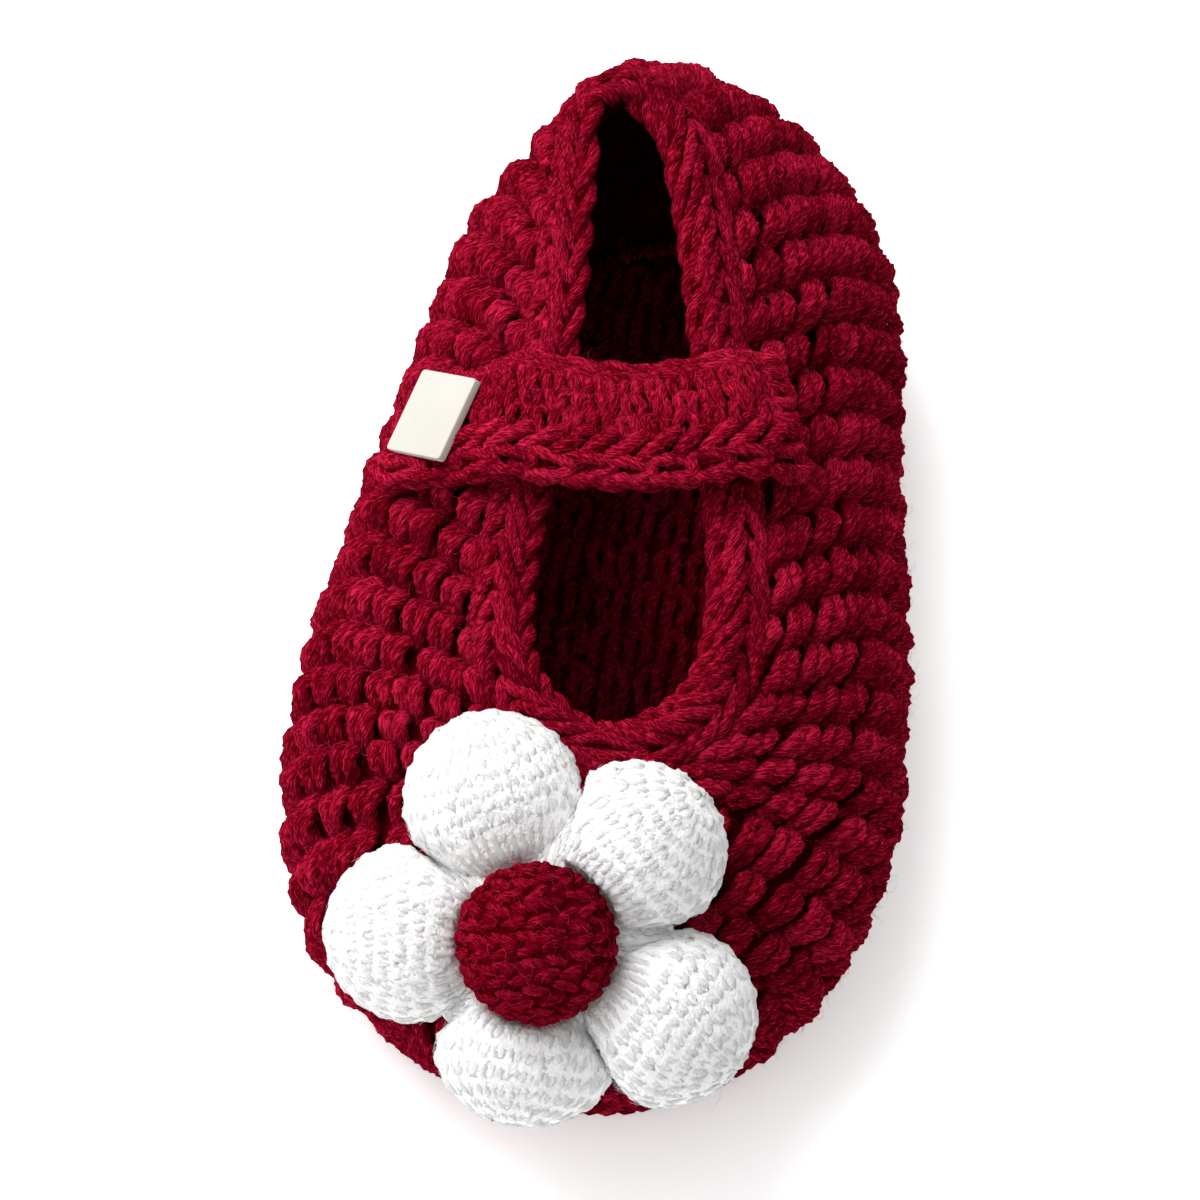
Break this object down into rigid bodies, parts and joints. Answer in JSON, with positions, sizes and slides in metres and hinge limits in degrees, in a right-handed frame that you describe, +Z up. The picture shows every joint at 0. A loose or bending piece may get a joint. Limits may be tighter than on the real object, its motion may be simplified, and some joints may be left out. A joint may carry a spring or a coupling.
{
  "type": "baby shoe",
  "caption": "Dark red crocheted baby slipper with a strap over the throat, a small blank tag and a puffy white flower with a red middle on the toe.",
  "frame": {"origin": "on the floor, under the middle of the shoe's box", "axes": "+Z up, the toe points to -Y and the heel to +Y, the outer side with the tag is -X"},
  "size_m": [0.0624, 0.12, 0.0486],
  "materials": {
    "red_yarn": "dark red plied yarn, crocheted in ridged rows, slightly fuzzy",
    "white_yarn": "soft white yarn, crocheted in fine rounds and stuffed",
    "tag_face": "smooth cream imitation leather, blank"
  },
  "bodies": {
    "root": {"sole": "red_yarn", "upper": "red_yarn", "throat_edging": "red_yarn", "strap": "red_yarn", "tag": "tag_face", "petal_1": "white_yarn", "petal_2": "white_yarn", "petal_3": "white_yarn", "petal_4": "white_yarn", "petal_5": "white_yarn", "flower_centre": "red_yarn"}
  },
  "joints": []
}
